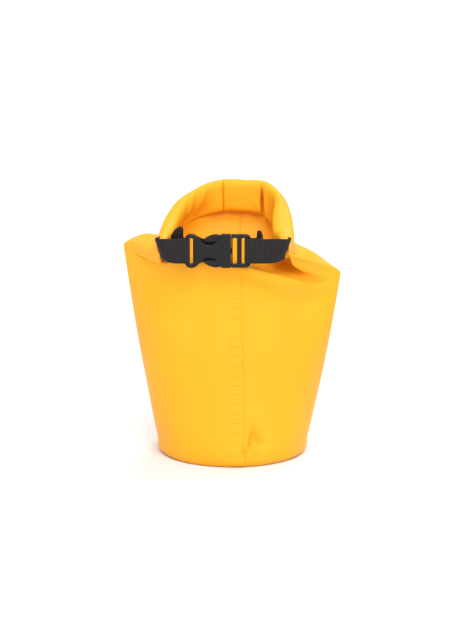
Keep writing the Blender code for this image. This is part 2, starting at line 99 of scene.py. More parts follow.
ROLL_HEIGHT = 33.0 * MM
ROLL_THICKNESS = 13.0 * MM
ROLL_FRONT_Y = -32.5 * MM
ROLL_FRONT_HEIGHT = 224.9 * MM  # of its centre line there
ROLL_END_THIN = 0.5  # its ends are pressed to this share of its thickness
ROLL_END_TALL = 0.42  # and from below to this share of its height
ROLL_SLOPE = 0.53  # its centre line rises this much for each metre back
# The roll's centre line seen from above, left end to right end
HOOP_PLAN = MM * np.array([
    (-70.4, -52.0), (-68.6, -42.0), (-64.8, -26.0), (-59.8, -10.0), (-48.5, 10.0),
    (-27.0, 29.5), (-8.0, 36.5), (14.0, 35.5), (34.0, 33.0), (47.4, 14.0),
    (51.2, -10.0), (52.2, -26.0), (52.8, -40.0), (51.8, -52.0),
])
ROLL_TURNS = 2.0
ROLL_PITCH = 1.3 * MM  # inwards for each turn
PLY = 0.5 * MM
# Folds up the roll's inner side: x, depth, width, slant, in mm, and how much of each there is at the
# top and at the bottom. A negative depth stands out.
FOLDS = [
    (-53.0, 2.0, 2.8, 0.10, 0.6, 1.0),
    (-47.5, -1.8, 2.6, 0.10, 0.6, 1.0),
    (-42.5, 2.8, 2.2, 0.20, 0.5, 1.0),
    (-36.0, -1.8, 2.8, 0.30, 0.6, 1.0),
    (-29.0, 1.8, 2.6, 0.40, 0.2, 1.0),
    (-20.5, 1.4, 2.4, 0.60, 0.0, 1.0),
    (-14.6, -2.6, 2.4, 0.0, 0.6, 1.0),
    (-10.4, 5.2, 1.2, 0.0, 0.7, 1.0),
    (-5.8, 1.6, 3.0, -0.05, 0.3, 1.0),
    (21.5, -3.2, 2.2, -0.75, 0.0, 1.0),
    (27.0, -1.6, 2.2, 0.0, 0.8, 0.6),
    (37.6, -1.4, 1.5, 0.10, 1.0, 0.4),
    (41.5, 2.6, 1.6, 0.35, 0.9, 0.6),
    (46.5, 1.8, 1.8, 0.35, 0.8, 0.4),
]
# The pocket beside the right flap: x, depth, width, and the heights it runs between, in mm
POCKET = (32.2, 9.5, 3.2, -17.0, 14.0)
FLAPS = [(-13.6, 1.9, 2.0), (27.6, 2.0, 2.0)]  # x, reach to the right and width, in mm
FOLD_DROOP = 4.5 * MM  # the roll's lower edge hangs this much lower at the right of the back
CORNER_DROOP = 8.0 * MM  # and this much at its right corner
BACK_RAISE = 3.0 * MM  # its upper edge stands this much higher there
FLAT_TOP = 0.5  # its top is squarer at the back's two corners
LEFT_FATNESS = 0.12  # the roll's two limbs are looser, and this much thicker than the back
RIGHT_FATNESS = 0.5
RIGHT_INNER_FATNESS = 0.85  # of the right limb's inner side
RING_ROOM = 0.6  # the inner side gives way to the D-rings at the front
LEFT_MERGE = 0.82  # on the left the roll's lower edge is pressed on to the wall under it

STRAP_Y = -55.0 * MM
STRAP_HEIGHT = 219.5 * MM
PARTING_X = -1.4 * MM
WEBBING = 1.5 * MM
WEBBING_WIDTH = 25.0 * MM
RIB_PITCH = 1.45 * MM
RIB_DEPTH = 0.3 * MM
RIB_SHRINK = 0.004  # the webbing is this much narrower over each rib
SELVEDGE_THIN = 0.75  # its edges are this much thinner
CORDS = 9  # shallow cords along it
CORD_DEPTH = 0.075  # as a share of a rib's
TAB_COLUMNS = 19  # across each face
MOUTH_WEBBING = (-0.3 * MM, WEBBING_WIDTH, WEBBING)  # place in the roll, width and thickness
STIFFENER = (1.3 * MM, 20 * MM, 0.8 * MM)
LEG_OFFSET = 3.6 * MM  # from the strap's middle to the webbing in front of the buckle's bars
HAIRPIN_RADIUS = 1.6 * MM
# Each tab's course from the roll's core to the buckle, in mm, and how far its top leans out and forward
LEFT_TAB = [
    (-65.6, -30.0, 226.2, 0.0, 0.0),
    (-67.4, -38.0, 222.0, 0.0, 0.0),
    (-71.4, -46.0, 220.6, 1.6, 1.5),
    (-74.3, -51.5, 221.3, 3.4, 5.0),
    (-72.6, -57.2, 221.4, 2.6, 6.0),
    (-67.0, -59.0, 220.6, 1.2, 3.0),
    (-58.0, -58.7, 219.6, 0.0, 0.6),
    (-49.0, -58.6, 219.5, 0.0, 0.0),
]
RIGHT_TAB = [
    (52.4, -30.0, 226.2, 0.0, 0.0),
    (52.6, -38.0, 222.0, 0.0, 0.0),
    (53.4, -45.5, 220.6, 1.6, 1.5),
    (54.9, -51.5, 221.3, 4.2, 5.0),
    (52.4, -57.2, 221.0, 3.0, 5.0),
    (46.5, -59.0, 220.2, 1.2, 2.5),
    (37.0, -58.7, 219.6, 0.0, 0.5),
    (20.0, -58.6, 219.5, 0.0, 0.0),
]
# Upper halves of the buckle's outlines, in mm from the parting line and the centre line
SOCKET_OUTLINE = [
    (-0.15, 8.0), (-0.15, 15.6), (-0.9, 16.9), (-4.0, 17.1), (-8.0, 17.1),
    (-10.6, 16.2), (-12.9, 13.4), (-15.0, 10.2), (-18.0, 7.6), (-21.5, 6.5),
    (-25.0, 6.9), (-28.2, 8.7), (-31.0, 11.2), (-33.6, 14.2), (-36.3, 16.3),
    (-40.0, 17.1), (-43.3, 16.4), (-45.6, 14.2), (-46.5, 11.2), (-46.5, 5.0),
]
SOCKET_SLOT = (-43.0, -38.2)
BAR_GAP = 0.3  # in mm, between a bar or a ring and the webbing round it
SOCKET_THICKNESS = 9.0 * MM
FRAME_OUTLINE = [
    (19.5, 5.0), (19.5, 11.6), (19.0, 14.4), (17.4, 16.1), (14.5, 16.8),
    (8.0, 16.9), (1.2, 16.8), (0.15, 15.8), (0.15, 8.0),
]
FRAME_SLOTS = ((1.6, 5.9), (10.6, 15.1))
FRAME_THICKNESS = 6.4 * MM
SLOT_HEIGHT = 26.2  # in mm, as everything down to the tongue is
END_BAR_THICKNESS = 4.6
SOCKET_TRIM = (-45.0, 13.6)  # where a plate is thinned to its end bar: the middle and the length
FRAME_TRIM = (17.8, 14.4)
SOCKET_HOLLOW = ((-14.0, -0.1, 0.0), (31.0, 5.0, 31.2))  # centre and size
TONGUE = ((-10.8, 0.0, 0.0), (24.4, 3.6, 6.0))
BACK_THICKNESS = 1.6 * MM
BACK_Y = 3.3 * MM  # from the socket's middle
SOCKET_BACK = [  # the back plate, which closes the two side windows behind
    (-3.0, 14.5), (-10.0, 15.2), (-16.0, 14.6), (-21.0, 13.2), (-25.0, 12.0),
    (-28.5, 12.0), (-31.5, 13.4), (-34.5, 14.4), (-37.0, 13.0), (-37.0, 5.0),
]
PRONG_OUTLINE = [
    (-1.2, 12.0), (-1.6, 13.4), (-5.0, 13.8), (-8.6, 14.0), (-11.4, 16.0),
    (-15.0, 16.8), (-19.0, 16.2), (-22.6, 14.9), (-25.8, 13.0), (-27.4, 11.2),
    (-26.2, 9.4), (-20.0, 9.0), (-12.0, 10.0), (-5.0, 10.3), (-1.8, 10.6),
]
PRONG_THICKNESS = 4.8 * MM
EDGE_BEVEL = 0.25 * MM
RING_OUTER = [  # the rings' upper halves in mm, with the straight side on the left
    (-2.1, 11.5), (-2.0, 16.4), (-0.4, 18.6), (3.4, 18.2),
    (8.6, 14.8), (13.0, 9.0), (14.8, 3.6),
]
RING_INNER = [(2.2, 5.0), (2.8, 6.6), (5.0, 6.2), (7.6, 3.9), (8.6, 1.2)]
RING_WIRE = 2.1 * MM
RING_Y = -48.25 * MM
RING_PLACES = {  # x, the way it hangs in degrees, the height of its middle, size
    "left_ring": (-51.5 * MM, 138.0, 224.2 * MM, 1.0),
    "right_ring": (26.5 * MM, 76.0, 222.3 * MM, 0.9),
}

SEAM_FROM = -4.5 * MM
SEAM_TO = 8.4 * MM  # the step edge at the strap
SEAM_LEAN = 3.2 * MM  # at the base it stands this much further right
SEAM_LIFT = 0.75 * MM
SEAM_LIP = 0.5 * MM  # the step edge stands off a little
SEAM_STEP = 0.4 * MM  # between its rows of points
SEAM_COLUMNS = 13
SEAM_FIRST_ROW = 2  # of the fabric's
SEAM_THICKNESS = 0.7 * MM
LADDER_FROM = 35.0 * MM
LADDER_TO = 178.0 * MM
LADDER_TICKS = 16
LADDER_DEPTH = 0.75 * MM
LADDER_WIDTH = 0.6 * MM

SLACK = 0.012  # the fabric is this much longer than the straight course
RIGHT_SLACK = 0.02  # and this much more at the right
CLOTH_SETTINGS = {
    "quality": 8,
    "mass": 0.004,
    "tension_stiffness": 25,
    "compression_stiffness": 25,
    "shear_stiffness": 15,
    "bending_stiffness": 4.0,
    "tension_damping": 20,
    "compression_damping": 20,
    "bending_damping": 2.0,
    "air_damping": 4.0,
    "vertex_group_mass": "pins",
    "pin_stiffness": 1.0,
    "use_pressure": True,
    "uniform_pressure_force": 0.4,
}
CLOTH_GRAVITY = 0.3
CLOTH_FRAMES = 40
CLOTH_COLUMNS = 100
CLOTH_ROW_STEP = 2
CLOTH_SMOOTHING = 10
CLOTH_REACH = 9.0 * MM  # the most that it may move a point
COLUMNS = 600  # round the tube
BODY_ROWS = 52
NECK_ROWS = 26
ROLL_ROWS_PER_TURN = 30

YELLOW = (0.87, 0.375, 0.014, 1)
YELLOW_LIGHT = (0.90, 0.405, 0.018, 1)
WEAVE_PITCH = 1.1 * MM
BLACK = (0.009, 0.0080, 0.0085, 1)
RING_BLACK = (0.008, 0.007, 0.0075, 1)
PLASTIC_WHITE = (0.62, 0.62, 0.58, 1)
# The webbing's two colours: the dark one is also painted shade in its grooves, and the light one is
# also painted highlight on its crests
YARN_DARK_AND_GROOVE_SHADE = (0.0015, 0.001, 0.0015, 1)
YARN_LIGHT_AND_CREST_HIGHLIGHT = (0.036, 0.030, 0.033, 1)
YARN_PITCH = 1.0 * MM

FLOOR_GREY = (0.84, 0.84, 0.84, 1)
# The sky's strength falls from the first value to the second between these heights of its direction
SKY_HEIGHTS = (0.25, 0.6)
SKY_STRENGTHS = (1.08, 0.45)
SUNS = [  # name, strength, width in degrees, and the way that its light goes
    ("sun", 1.3, 38, (-0.22, -0.5, -1.0)),
    ("key", 2.52, 48, (-0.12, 0.8, -0.95)),
]
CAMERA_PLACE = (0.0, -1.929, 0.5277)
CAMERA_TILT = math.radians(90 - 11.13)
CAMERA_LENS = 110.0


# ------------------------ small helpers


def smooth(x, low, high):
    """0 below low, 1 above high, and a smooth step between."""
    t = np.clip((x - low) / (high - low), 0.0, 1.0)
    return t * t * (3 - 2 * t)


def bump(x, centre, width):
    """1 at the centre, falling off to about a third at the width."""
    return np.exp(-(((x - centre) / width) ** 2))


def spline(p0, p1, p2, p3, f):
    """The place between p1 and p2, at the share f, of the smooth curve through four points."""
    return (
        2 * p1
        + (p2 - p0) * f
        + (2 * p0 - 5 * p1 + 4 * p2 - p3) * f**2
        + (3 * p1 - p0 - 3 * p2 + p3) * f**3
    ) / 2


def catmull_rom(points, t):
    """Points of the smooth curve through the given points, for each t from 0 to 1."""
    points = np.asarray(points, float)
    spans = len(points) - 1
    padded = np.vstack([2 * points[0] - points[1], points, 2 * points[-1] - points[-2]])
    place = np.clip(np.asarray(t, float), 0, 1) * spans
    i = np.minimum(place.astype(int), spans - 1)
    f = (place - i)[:, None]
    return spline(*(padded[i + k] for k in range(4)), f)


def even_points(points, count):
    """count points at even spacing along the smooth curve through the points."""
    fine = catmull_rom(points, np.linspace(0, 1, 1200))
    along = lengths_along(fine)
    want = np.linspace(0, along[-1], count)
    return sample(fine, along, want)


def grid_mesh(name, points, closed=False, uv=None):
    """A mesh over rows and columns of points. Closed grids join the last column to the first."""
    rows, columns = points.shape[:2]
    mesh = bpy.data.meshes.new(name)
    faces = []
    corners = []
    for r in range(rows - 1):
        for c in range(columns if closed else columns - 1):
            right = (c + 1) % columns
            faces.append((r * columns + c, r * columns + right,
                          (r + 1) * columns + right, (r + 1) * columns + c))
            corners.append(((r, c), (r, c + 1), (r + 1, c + 1), (r + 1, c)))
    mesh.from_pydata(points.reshape(-1, 3).tolist(), [], faces)
    if uv is not None:
        layer = mesh.uv_layers.new(name="UVMap")
        flat = [uv[r, c] for quad in corners for r, c in quad]
        layer.data.foreach_set("uv", np.array(flat, float).ravel())
    mesh.shade_smooth()
    return mesh


def sample(values, along, want):
    """The rows of values, given at the lengths along, at the wanted lengths."""
    return np.stack([np.interp(want, along, column) for column in values.T], axis=1)


def lengths_along(points):
    """How far along the points each one is."""
    steps = np.linalg.norm(np.diff(points, axis=0), axis=1)
    return np.concatenate([[0], np.cumsum(steps)])


def add(name, data, finish=None):
    """An object of the mesh, curve, light or camera, in the scene. The finish is its material."""
    obj = bpy.data.objects.new(name, data)
    bpy.context.scene.collection.objects.link(obj)
    if finish is not None:
        data.materials.append(finish)
    return obj


def apply_modifiers(obj):
    """Keeps the modifiers' result as the object's mesh."""
    bpy.context.view_layer.update()
    solid = obj.evaluated_get(bpy.context.evaluated_depsgraph_get())
    mesh = bpy.data.meshes.new_from_object(solid)
    old = obj.data
    obj.modifiers.clear()
    obj.data = mesh
    mesh.name = old.name
    return obj


def thicken(obj, thickness, offset):
    """Gives a sheet its thickness: inwards with the offset at -1, and to both sides at 0."""
    shell = obj.modifiers.new("Thickness", "SOLIDIFY")
    shell.thickness = thickness
    shell.offset = offset
    apply_modifiers(obj)
    obj.data.set_sharp_from_angle(angle=SHARP)
    return obj


# ------------------------ fabric shape


def hoop_path(count):
    """The roll's centre line: points and outward directions."""
    plan = even_points(HOOP_PLAN, count)
    along = np.gradient(plan, axis=0)
    along /= np.linalg.norm(along, axis=1)[:, None]
    outward = np.stack([-along[:, 1], along[:, 0], np.zeros(count)], axis=1)
    height = ROLL_FRONT_HEIGHT + ROLL_SLOPE * (plan[:, 1] - ROLL_FRONT_Y)
    return np.column_stack([plan, height]), outward


def panel_arc(half_width, depth, half_angle, t):
    across = half_width * np.sin(half_angle * t) / math.sin(half_angle)
    outward = depth * (np.cos(half_angle * t) - math.cos(half_angle)) / (1 - math.cos(half_angle))
    return across, outward


def panel_depth(half_width, half_angle):
    """How far a panel bulges so that its section is as long as the fabric is wide."""
    low, high = 0.0, half_width * 1.6
    t = np.linspace(-1, 1, 161)
    for _ in range(40):
        depth = (low + high) / 2
        x, out = panel_arc(half_width, depth, half_angle, t)
        length = np.hypot(np.diff(x), np.diff(out)).sum()
        low, high = (depth, high) if length < FLAT_WIDTH else (low, depth)
    return (low + high) / 2


def columns_around():
    """For each column: +1 on the back panel and -1 on the front, and t across it from -1 to 1."""
    share = np.arange(COLUMNS) / COLUMNS * 4
    side = np.where(share <= 2, -1.0, 1.0)
    t = np.where(share <= 2, share - 1, 3 - share)
    return side, t


def body_ring(s):
    """The tube's section at s, from 0 at the base's corner to 1 at the shoulders."""
    side, t = columns_around()
    half_width = TUBE_RADIUS + (SHOULDER_HALF_WIDTH - TUBE_RADIUS) * s
    half_width += BELLY * math.sin(math.pi * s**0.75)
    half_angle = math.pi / 2 + (LENS_ANGLE - math.pi / 2) * s**1.3
    depth = panel_depth(half_width, half_angle)
    x, out = panel_arc(half_width, depth, half_angle, t)
    turn = x / half_width
    front_to_back = side * np.sqrt(np.clip(1 - turn**2, 0, 1))
    shoulder = SHOULDER_HEIGHT - SHOULDER_LEAN * turn + SHOULDER_RISE * front_to_back
    lip = LIP_RISE * bump(turn, 0.0, 0.5) * (side < 0) * smooth(1 - np.abs(turn), 0.0, 0.4)
    forward = LIP_FORWARD * (1 - turn**2) * smooth(s, 0.55, 1.0)
    y = side * out - forward
    return np.stack([x, y, TUBE_START + (shoulder + lip - TUBE_START) * s], axis=1)


def racetrack(turn, inset):
    """A point of the roll's section: up its outer side, over, down and under."""
    half = ROLL_THICKNESS / 2 - inset
    straight = ROLL_HEIGHT / 2 - ROLL_THICKNESS / 2
    lengths = [2 * straight, math.pi * half, 2 * straight, math.pi * half]
    along = turn % 1.0 * sum(lengths)
    if along < lengths[0]:
        return half, -straight + along
    along -= lengths[0]
    if along < lengths[1]:
        return half * math.cos(along / half), straight + half * math.sin(along / half)
    along -= lengths[1]
    if along < lengths[2]:
        return -half, straight - along
    angle = (along - lengths[2]) / half
    return -half * math.cos(angle), -straight - half * math.sin(angle)


def folds(up, x, low):
    """How deep the folds are at each place. They are wider lower down."""
    groove = 0.0
    for at, depth, width, slant, high_share, low_share in FOLDS:
        wide = width * MM * (1 + 0.4 * low)
        share = high_share + (low_share - high_share) * low
        groove = groove + depth * MM * bump(x, at * MM + slant * up, wide) * share
    return groove


def pocket(n, up, x):
    """How far out the pocket moves each point. The section's inner side moves the most."""
    at, depth, width, bottom, top = (value * MM for value in POCKET)
    mouth = smooth(top - up, 0, 0.62 * (top - bottom)) * smooth(up, bottom, 0.7 * bottom)
    hollow = np.exp(-(np.abs((x - at) / (width * (0.25 + 0.75 * mouth))) ** 3))
    return hollow * depth * np.sqrt(mouth) * (0.5 - n / ROLL_THICKNESS)


def droop(x, y):
    """How much lower the roll's lower edge hangs, for places along the hoop."""
    fold = FOLD_DROOP * smooth(x, 17 * MM, 30 * MM)
    corner = (CORNER_DROOP - FOLD_DROOP) * smooth(x, 31 * MM, 36 * MM)
    return (fold + corner) * smooth(y, 5 * MM, 22 * MM)


def loosen(n, up, x, y):
    """The hoop's two limbs are thicker than its back, and their ends in front are pressed together."""
    fatness = np.where(x < 0, LEFT_FATNESS, np.where(n < 0, RIGHT_INNER_FATNESS, RIGHT_FATNESS))
    fatness = fatness * np.where(n < 0, 1 - RING_ROOM * smooth(-y, 30 * MM, 44 * MM), 1)
    n = n * (1 + fatness * smooth(-y, -16 * MM, 22 * MM))
    end = smooth(-y, 34 * MM, 52 * MM)
    n = n * (1 - (1 - ROLL_END_THIN) * end)
    half = ROLL_HEIGHT / 2
    up = half - (half - up) * (1 - (1 - ROLL_END_TALL) * end)
    return n, up


def crumple(n, up, x, y):
    """The roll's section, n out from its centre line and up it, with its folds and its slack."""
    half_thick = ROLL_THICKNESS / 2
    half = ROLL_HEIGHT / 2
    inner = np.clip(-n / half_thick, 0, 1)
    low = smooth(-up, -4 * MM, half)
    n = n + (inner * folds(up, x, low) + pocket(n, up, x)) * smooth(y, -12 * MM, 12 * MM)
    merge = LEFT_MERGE * smooth(-x, 14 * MM, 36 * MM) * smooth(-up, -8 * MM, 15 * MM)
    merge = merge * smooth(y, -28 * MM, -4 * MM)
    n = half_thick - (half_thick - n) * (1 - merge)
    up = up - low * (0.3 + 0.7 * inner) * droop(x, y)
    up = up + BACK_RAISE * smooth(y, -30 * MM, 15 * MM) * smooth(up, 0, half)
    share = np.clip(n / half_thick, -1, 1)
    flat_top = FLAT_TOP * smooth(np.abs(x), 20 * MM, 40 * MM) * smooth(-y, -22 * MM, 0)
    n = n + half_thick * flat_top * share * (1 - share**2)
    return loosen(n, up, x, y)


def overlap(up, x, y):
    """How far the flaps left of the two deep folds slide over them, along the hoop."""
    tall = 0.6 + 0.6 * smooth(-up, 0, ROLL_HEIGHT / 2)
    slide = sum(reach * MM * bump(x, at * MM, width * MM) for at, reach, width in FLAPS)
    return slide * tall * (y > 0)


def roll_ring(path, outward, n_back, up_back, n_front, up_front):
    """A ring of both panels along the hoop, the back panel outside the front one."""
    side, t = columns_around()
    at = np.rint((t + 1) / 2 * (len(path) - 1)).astype(int)
    edge = np.abs(t) == 1
    n = np.where(side > 0, n_back, n_front)
    up = np.where(side > 0, up_back, up_front)
    n = np.where(edge, (n_back + n_front) / 2, n)
    up = np.where(edge, (up_back + up_front) / 2, up)
    x, y = path[at, 0], path[at, 1]
    slide = overlap(up, x, y) * np.clip(-n / (ROLL_THICKNESS / 2), 0, 1)
    n, up = crumple(n, up, x, y)
    points = path[at] + outward[at] * n[:, None]
    points[:, 0] += outward[at, 1] * slide
    points[:, 1] -= outward[at, 0] * slide
    points[:, 2] += up
    return points


def dents(ring, g):
    """Hollows in the tube's front: g is 0 at the base, 1 at the shoulder line and 2 at the roll.
    Across the panel, t is -1 at the left corner and 1 at the right one."""
    side, t = columns_around()
    front = side < 0
    valley = RIGHT_VALLEY * bump(t, 0.7, 0.16) * bump(g, 1.12, 0.24)
    valley = valley + LEFT_VALLEY * bump(t, -0.7, 0.16) * bump(g, 1.1, 0.2)
    deepest = 0.915 - 0.08 * bump(t, 0.52, 0.36)
    across = bump(t, 0.05, 0.6) + 0.85 * bump(t, 0.62, 0.22)
    smile = STRAP_HOLLOW * across * smooth(g - deepest, -0.42, 0.0)
    rim = 0.1 + 0.075 * bump(t, 0.6, 0.3)
    smile = smile * (1 - smooth((g - deepest) / rim, 0.0, 1.0))
    x = ring[:, 0]
    dent = DENT * smooth(x - DENT_SLANT * g, 12.5 * MM, 18 * MM)
    dent = dent * (1 - smooth(x, 22 * MM, 40 * MM))
    dent = dent * (1 - smooth(g + np.clip(x - 20 * MM, 0, 1) * 6, 0.03, 0.2)) * smooth(g, 0, 0.035)
    pinch = PINCH * bump(x, 13.5 * MM, 4.5 * MM) * (1 - smooth(g, 0.02, 0.09)) * smooth(g, 0, 0.02)
    move = np.zeros_like(ring)
    move[:, 1] = front * (valley + smile + dent - pinch)
    move[:, 2] = -VALLEY_SINK * front * valley
    return move


def corner_rings():
    """The fabric's rings round the base's corner, up to the tube."""
    outer = CORNER_RADIUS + BASE_INSET
    around = body_ring(0.0)[:, :2]
    unit = around / np.linalg.norm(around, axis=1)[:, None]
    rings = []
    for i in range(CORNER_ROWS):
        angle = CORNER_TURN * (1 - i / CORNER_ROWS)
        radius = TUBE_RADIUS - outer + outer * math.cos(angle)
        height = CORNER_RADIUS - outer * math.sin(angle)
        rings.append(np.column_stack([unit * radius, np.full(COLUMNS, height)]))
    return rings


def neck_rings(low, high, rise):
    """The rings between low, at the shoulders, and high, at the roll. They leave low along rise, and
    reach high going straight up."""
    side, t = columns_around()
    span = np.linalg.norm(high - low, axis=1)
    middle = smooth(1 - np.abs(t), 0.0, 0.35)
    pulls = [NECK_PULL + np.where(side < 0, front, back) * middle
             for front, back in zip(FRONT_PULL, BACK_PULL)]
    start = rise * (span * pulls[0])[:, None]
    end = np.zeros_like(low)
    end[:, 2] = span * pulls[1]
    rings = []
    for i in range(1, NECK_ROWS + 1):
        a = i / NECK_ROWS
        ring = low * (2 * a**3 - 3 * a**2 + 1) + high * (3 * a**2 - 2 * a**3)
        ring = ring + start * (a**3 - 2 * a**2 + a) + end * (a**3 - a**2)
        crest = math.sin(math.pi * a) * (side > 0)
        late = math.sin(math.pi * a**1.5) * (side > 0)
        ring[:, 2] += LEFT_CREST * (crest * bump(t, -0.84, 0.16) + 0.5 * late * bump(t, -0.7, 0.2))
        ring[:, 2] += RIGHT_CREST * (crest * bump(t, 0.8, 0.15) + 0.8 * late * bump(t, 0.7, 0.2))
        ring[:, 0] += CREST_SHIFT * late * bump(t, 0.75, 0.2)
        rings.append(ring + dents(ring, 1 + a))
    return rings


def fabric_rows():
    """Every ring of the fabric, base to the end of the roll, and how many there are below the roll."""
    rings = corner_rings()
    for i in range(BODY_ROWS):
        ring = body_ring(i / (BODY_ROWS - 1))
        rings.append(ring + dents(ring, i / (BODY_ROWS - 1)))
    path, outward = hoop_path(COLUMNS // 2 + 1)
    low = body_ring(1.0)
    rise = low - body_ring(1 - 2 / (BODY_ROWS - 1))
    rise /= np.linalg.norm(rise, axis=1)[:, None]
    drop = -ROLL_HEIGHT / 2 - NECK_DROP
    high = roll_ring(path, outward, NECK_BACK, drop, NECK_FRONT, drop)
    rings += neck_rings(low, high, rise)
    neck_end = len(rings)
    for i in range(round(ROLL_TURNS * ROLL_ROWS_PER_TURN) + 1):
        turn = i / ROLL_ROWS_PER_TURN
        back = racetrack(turn, PLY / 2 + ROLL_PITCH * turn)
        front = racetrack(turn, PLY * 1.5 + ROLL_PITCH * turn)
        rings.append(roll_ring(path, outward, *back, *front))
    return np.array(rings), neck_end


def fabric_uv(points):
    """Flat coordinates of the fabric: round it from the front's middle, and up it."""
    rows, columns = points.shape[:2]
    around = (np.arange(columns + 1) / columns * 2 - 0.5) * FLAT_WIDTH
    step = np.linalg.norm(np.diff(points, axis=0), axis=2).mean(axis=1)
    up = np.concatenate([[0], np.cumsum(step)])
    uv = np.zeros((rows, columns + 1, 2))
    uv[:, :, 0] = around[None, :]
    uv[:, :, 1] = up[:, None]
    return uv


# ------------------------ materials


class Nodes:
    """Short names for building a material's nodes."""

    def __init__(self, name):
        self.material = bpy.data.materials.new(name)
        self.material.use_nodes = True
        self.tree = self.material.node_tree

    def feed(self, socket, value):
        """Sets a socket to a number or a colour, or links a node's output to it."""
        if isinstance(value, (int, float, tuple)):
            socket.default_value = value
        else:
            self.tree.links.new(value, socket)

    def node(self, kind, inputs, output, **settings):
        """A new node's output, once its settings and inputs are given."""
        node = self.tree.nodes.new(kind)
        for key, value in settings.items():
            setattr(node, key, value)
        for key, value in inputs.items():
            self.feed(node.inputs[key], value)
        return node.outputs[output]

    def place(self, kind="Object"):
        return self.node("ShaderNodeTexCoord", {}, kind)

    def flat(self):
        """The two coordinates on the flat fabric or webbing."""
        split = self.tree.nodes.new("ShaderNodeSeparateXYZ")
        self.feed(split.inputs[0], self.place("UV"))
        return split.outputs["X"], split.outputs["Y"]

    def math(self, operation, *values):
        return self.node("ShaderNodeMath", dict(enumerate(values)), 0, operation=operation)

    def wave(self, value, pitch):
        return self.math("SINE", self.math("MULTIPLY", value, 2 * math.pi / pitch))

    def noise(self, vector, scale, detail=3.0, roughness=0.55):
        inputs = {"Vector": vector, "Scale": scale, "Detail": detail, "Roughness": roughness}
        return self.node("ShaderNodeTexNoise", inputs, "Fac")

    def ramp(self, value, low, high):
        """Spreads a noise's middle values from low to high."""
        inputs = {"Value": value, "From Min": 0.3, "From Max": 0.7, "To Min": low, "To Max": high}
        return self.node("ShaderNodeMapRange", inputs, "Result")

    def mix(self, share, a, b):
        return self.node("ShaderNodeMix", {0: share, 6: a, 7: b}, 2, data_type="RGBA")

    def bump(self, height, strength, distance, before=None):
        inputs = {"Strength": strength, "Distance": distance, "Height": height}
        if before is not None:
            inputs["Normal"] = before
        return self.node("ShaderNodeBump", inputs, "Normal")

    def shade(self, inputs):
        """Gives the shader its inputs. Returns the material."""
        shader = self.tree.nodes["Principled BSDF"]
        for name, value in inputs.items():
            self.feed(shader.inputs[name], value)
        return self.material


def fabric_material(name, roughness=0.42):
    """Yellow coated tarpaulin: a satin skin over a fine woven scrim."""
    n = Nodes(name)
    u, v = n.flat()
    place = n.place()
    weave = n.math("MULTIPLY", n.wave(u, WEAVE_PITCH), n.wave(v, WEAVE_PITCH))
    grain = n.math("ADD", n.math("MULTIPLY", weave, 0.5), n.noise(place, 1800.0, 2.0))
    fine = n.bump(grain, 0.12, 0.05 * MM)
    return n.shade({
        "Base Color": n.mix(n.ramp(n.noise(place, 14.0), 0.0, 1.0), YELLOW, YELLOW_LIGHT),
        "Roughness": n.ramp(n.noise(place, 60.0), roughness - 0.05, roughness + 0.06),
        "Specular IOR Level": 0.14,
        "Normal": n.bump(n.noise(place, 38.0, 2.0), 0.25, 0.6 * MM, fine),
    })


def plastic_material(name, colour=BLACK, roughness=0.42):
    """Moulded plastic, with a fine spark-eroded texture."""
    n = Nodes(name)
    place = n.place()
    light = tuple(c * 1.35 for c in colour[:3]) + (1,)
    return n.shade({
        "Base Color": n.mix(n.ramp(n.noise(place, 120.0), 0.0, 1.0), colour, light),
        "Roughness": n.ramp(n.noise(place, 300.0), roughness - 0.06, roughness + 0.08),
        "Specular IOR Level": 0.22,
        "Normal": n.bump(n.noise(place, 2600.0, 2.0), 0.2, 0.05 * MM),
    })


def webbing_material(name):
    """Black woven webbing: ribs across it, crossed by the yarns along it. Its colour has painted shade
    in the grooves between ribs and yarns and painted highlight on their crests, and also varies at
    random with the fibres.
    """
    n = Nodes(name)
    along, across = n.flat()
    yarns = n.math("MULTIPLY", n.wave(across, YARN_PITCH), 0.45)
    height = n.math("ADD", n.wave(along, RIB_PITCH), yarns)
    fibres = n.noise(n.place(), 900.0, 4.0, 0.7)
    # The colour follows the ribs' and yarns' height, with painted shade in the grooves and painted
    # highlight on the crests, plus a random tone from the fibres
    share = n.math("ADD", n.math("MULTIPLY", height, 0.34), n.ramp(fibres, 0.2, 0.75))
    rough = n.bump(fibres, 0.3, 0.15 * MM)
    return n.shade({
        "Base Color": n.mix(share, YARN_DARK_AND_GROOVE_SHADE, YARN_LIGHT_AND_CREST_HIGHLIGHT),
        "Roughness": 0.8,
        "Specular IOR Level": 0.25,
        "Sheen Weight": 0.1,
        "Sheen Roughness": 0.4,
        "Normal": n.bump(height, 0.5, 0.25 * MM, rough),
    })


# ------------------------ cloth


def spread(values, rows, columns):
    """The coarse grid's values at the places of a finer one. Columns are closed."""
    at = np.linspace(0, values.shape[0] - 1, rows)
    low = np.minimum(at.astype(int), values.shape[0] - 2)
    f = (at - low)[:, None, None]
    tall = values[low] * (1 - f) + values[low + 1] * f
    at = np.arange(columns) / columns * values.shape[1]
    low = at.astype(int)
    f = (at - low)[None, :, None]
    return tall[:, low] * (1 - f) + tall[:, (low + 1) % values.shape[1]] * f


def flat_pattern(part, t):
    """The rows as an upright tube at their real size, with the slack added to their height."""
    flat = part.copy()
    columns = part.shape[1]
    angle = np.arange(columns) / columns * 2 * math.pi
    radius = FLAT_WIDTH * 2 / (2 * math.pi)
    length = np.vstack([np.zeros(columns), np.linalg.norm(np.diff(part, axis=0), axis=2)])
    slack = 1 + SLACK + RIGHT_SLACK * bump(t, 0.75, 0.35)[None, :]
    flat[:, :, 2] = np.cumsum(length * slack, axis=0)
    flat[:, :, 0] = radius * np.cos(angle)
    flat[:, :, 1] = radius * np.sin(angle)
    return flat


